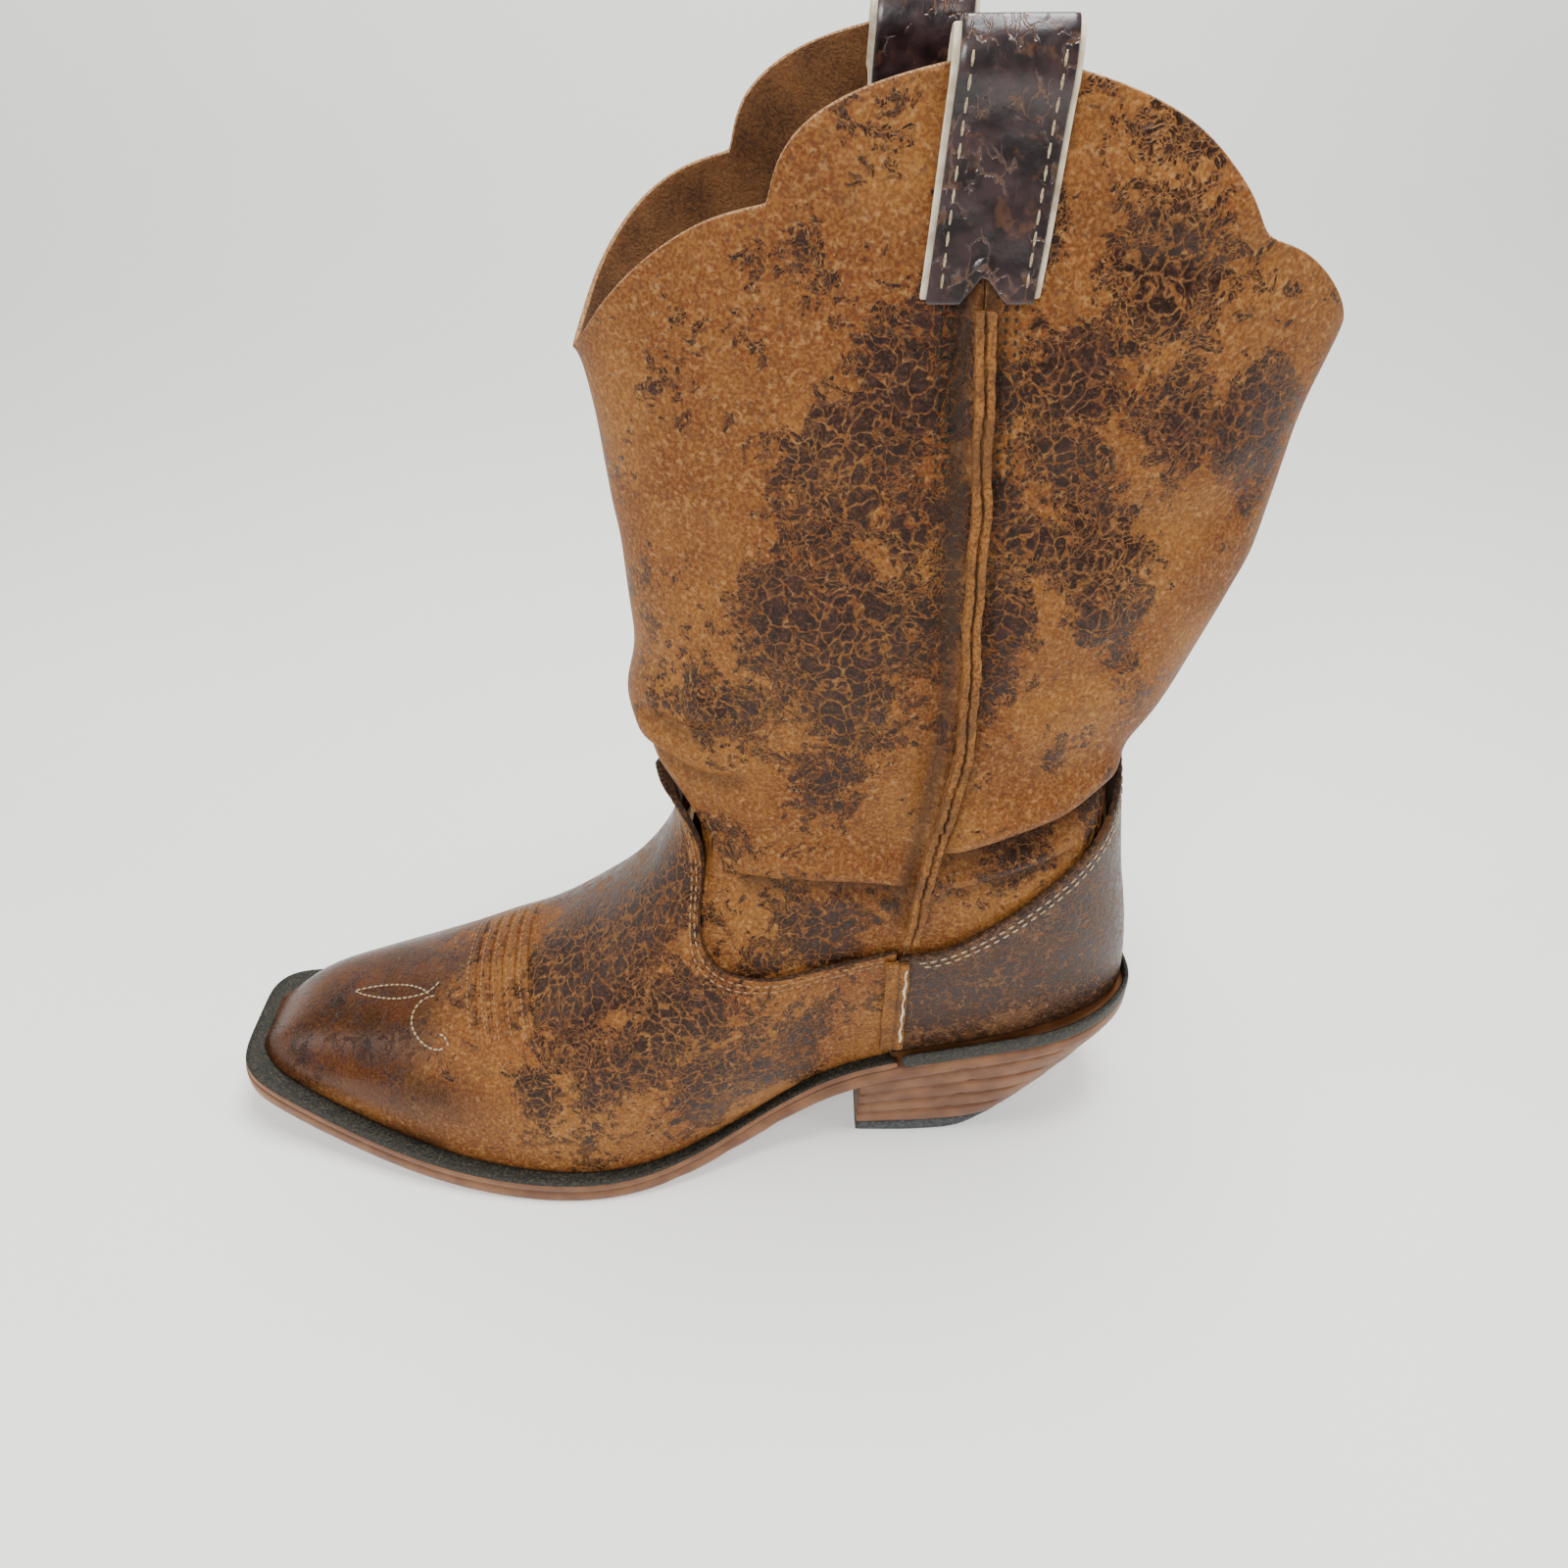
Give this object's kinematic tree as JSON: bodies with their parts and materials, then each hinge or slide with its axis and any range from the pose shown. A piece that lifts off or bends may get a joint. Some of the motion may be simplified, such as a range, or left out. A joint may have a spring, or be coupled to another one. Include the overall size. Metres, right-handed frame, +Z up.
{
  "type": "cowboy boot",
  "caption": "Mid-height western boot for the left foot: snip toe, scalloped shaft of two panels with raised side seams and pull straps, welted leather sole and an underslung stacked heel.",
  "frame": {"origin": "centre of the boot's box in plan, on the surface it stands on", "axes": "+X from the toe to the heel, +Y from the outer side of the foot to the inner side, +Z up the shaft"},
  "size_m": [0.3262, 0.1082, 0.3385],
  "materials": {
    "distressed_leather": "distressed pull-up leather: tan where the top coat has worn away, dark glossy patches where it is left",
    "dark_leather": "dark brown burnished leather, half gloss",
    "raw_edge_leather": "raw cut leather edge, matte",
    "strap_leather": "dark aubergine brown glazed leather",
    "pale_strap_leather": "undyed cream leather, matte",
    "black_welt_leather": "black-green waxed welt leather with stitching, half gloss",
    "sole_leather": "reddish brown stained and burnished sole leather edge",
    "heel_rubber": "dark blue-grey worn rubber",
    "lining_leather": "napped suede, matte",
    "fibre_board": "pressed leather fibre board, matte",
    "cork": "granulated cork, matte",
    "steel": "cold rolled, satin",
    "peg_wood": "pale maple, matte"
  },
  "bodies": {
    "root": {"vamp": "distressed_leather", "counter_cover": "dark_leather", "front_shaft_panel": "distressed_leather", "back_shaft_panel": "distressed_leather", "toe_box_stiffener": "fibre_board", "heel_counter_stiffener": "fibre_board", "vamp_lining": "lining_leather", "counter_lining": "lining_leather", "joint_strip_outer": "dark_leather", "side_seam_welt_outer": "raw_edge_leather", "pull_strap_outer": "strap_leather", "pull_strap_backing_outer": "pale_strap_leather", "joint_strip_inner": "dark_leather", "side_seam_welt_inner": "raw_edge_leather", "pull_strap_inner": "strap_leather", "pull_strap_backing_inner": "pale_strap_leather", "storm_welt": "black_welt_leather", "heel_rand": "black_welt_leather", "outsole": "sole_leather", "cork_filler": "cork", "heel_seat_filler": "fibre_board", "insole": "fibre_board", "sock_liner": "lining_leather", "steel_shank": "steel", "rubber_top_lift": "heel_rubber", "heel_lift_1": "sole_leather", "heel_lift_2": "sole_leather", "heel_lift_3": "sole_leather", "heel_lift_4": "sole_leather", "heel_nail_1": "steel", "heel_nail_2": "steel", "heel_nail_3": "steel", "heel_nail_4": "steel", "heel_nail_5": "steel", "waist_peg_1": "peg_wood", "waist_peg_2": "peg_wood", "waist_peg_3": "peg_wood", "waist_peg_4": "peg_wood", "waist_peg_5": "peg_wood", "waist_peg_6": "peg_wood", "waist_peg_7": "peg_wood", "waist_peg_8": "peg_wood"}
  },
  "joints": []
}
